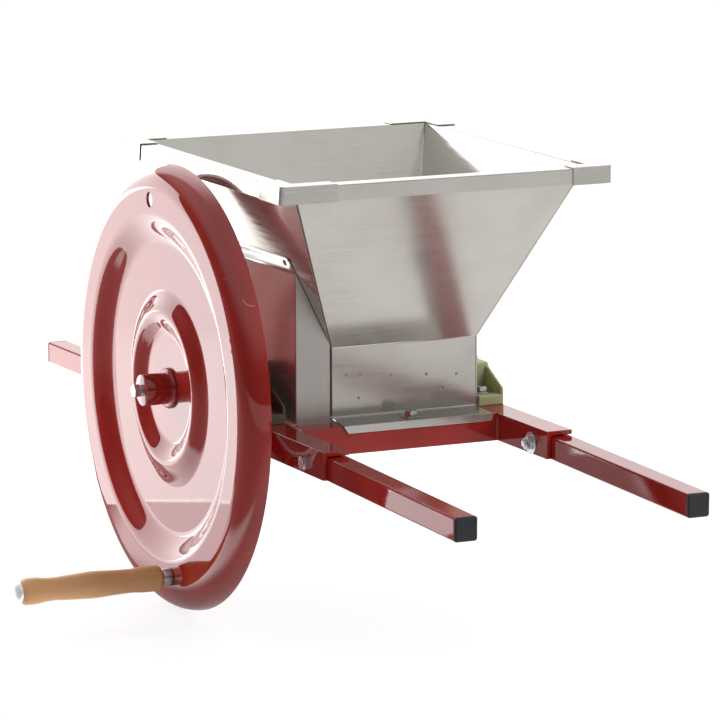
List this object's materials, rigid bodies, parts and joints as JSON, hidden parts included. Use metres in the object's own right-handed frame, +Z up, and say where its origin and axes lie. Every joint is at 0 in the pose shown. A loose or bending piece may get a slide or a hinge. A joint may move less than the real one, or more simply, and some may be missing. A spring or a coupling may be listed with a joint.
{
  "type": "apple scratter",
  "caption": "Hand-cranked fruit mill: stainless hopper over a toothed drum, red flywheel with a wooden crank grip, on a steel frame with arms that rest on a barrel.",
  "frame": {"origin": "midway between the two rails, level with their lower edges, straight below the shaft", "axes": "+Z up, +X along the shaft away from the flywheel, +Y towards the rear arms; the arms droop about their bolts by 0.6 to 1.1 degrees"},
  "size_m": [0.6131, 1.0883, 0.482],
  "materials": {
    "red_paint": "high gloss enamel",
    "stainless": "satin rolled sheet",
    "zinc_plate": "bright zinc plate",
    "shaft_steel": "turned bright bar",
    "nylon": "natural moulded nylon",
    "black_plastic": "moulded",
    "turned_wood": "lightly varnished beech"
  },
  "bodies": {
    "stand": {"left_rail": "red_paint", "right_rail": "red_paint", "front_crossbar": "red_paint", "rear_crossbar": "red_paint", "arm_front_left": "red_paint", "arm_front_right": "red_paint", "arm_rear_left": "red_paint", "arm_rear_right": "red_paint", "arm_cap_front_left": "black_plastic", "arm_cap_front_right": "black_plastic", "arm_cap_rear_left": "black_plastic", "arm_cap_rear_right": "black_plastic", "arm_bolt_front_left": "zinc_plate", "arm_bolt_front_right": "zinc_plate", "arm_bolt_rear_left": "zinc_plate", "arm_bolt_rear_right": "zinc_plate", "arm_washer_front_left": "zinc_plate", "arm_washer_front_right": "zinc_plate", "arm_washer_rear_left": "zinc_plate", "arm_washer_rear_right": "zinc_plate", "arm_nut_front_left": "zinc_plate", "arm_nut_front_right": "zinc_plate", "arm_nut_rear_left": "zinc_plate", "arm_nut_rear_right": "zinc_plate", "hopper_front": "stainless", "hopper_rear": "stainless", "hopper_left": "stainless", "hopper_right": "stainless", "rim_cap_front_left": "stainless", "rim_cap_front_right": "stainless", "rim_cap_rear_left": "stainless", "rim_cap_rear_right": "stainless", "side_guard": "stainless", "counter_comb": "stainless", "guard_rivet_front": "zinc_plate", "guard_rivet_rear": "zinc_plate", "foot_bolt_front": "zinc_plate", "foot_nut_front": "zinc_plate", "foot_bolt_rear": "zinc_plate", "foot_nut_rear": "zinc_plate", "bearing_block_left": "nylon", "bearing_bolt_left_front": "zinc_plate", "bearing_nut_left_front": "zinc_plate", "bearing_bolt_left_rear": "zinc_plate", "bearing_nut_left_rear": "zinc_plate", "bearing_block_right": "nylon", "bearing_bolt_right_front": "zinc_plate", "bearing_nut_right_front": "zinc_plate", "bearing_bolt_right_rear": "zinc_plate", "bearing_nut_right_rear": "zinc_plate"},
    "crank": {"flywheel_disc": "red_paint", "flywheel_hub": "red_paint", "hub_bolt": "zinc_plate", "shaft": "shaft_steel", "shaft_collar": "zinc_plate", "toothed_drum": "stainless", "handle_pin": "zinc_plate", "pin_nut": "zinc_plate", "grip_end_cap": "zinc_plate"},
    "grip_sleeve": {"grip": "turned_wood"}
  },
  "joints": [
    {"name": "crank_turn", "type": "hinge", "parent": "stand", "child": "crank", "pos_m": [0, 0, 0.0633], "axis": [1, 0, 0], "continuous": true},
    {"name": "grip_spin", "type": "hinge", "parent": "crank", "child": "grip_sleeve", "pos_m": [0, -0.03152, -0.13572], "axis": [1, 0, 0], "continuous": true}
  ]
}
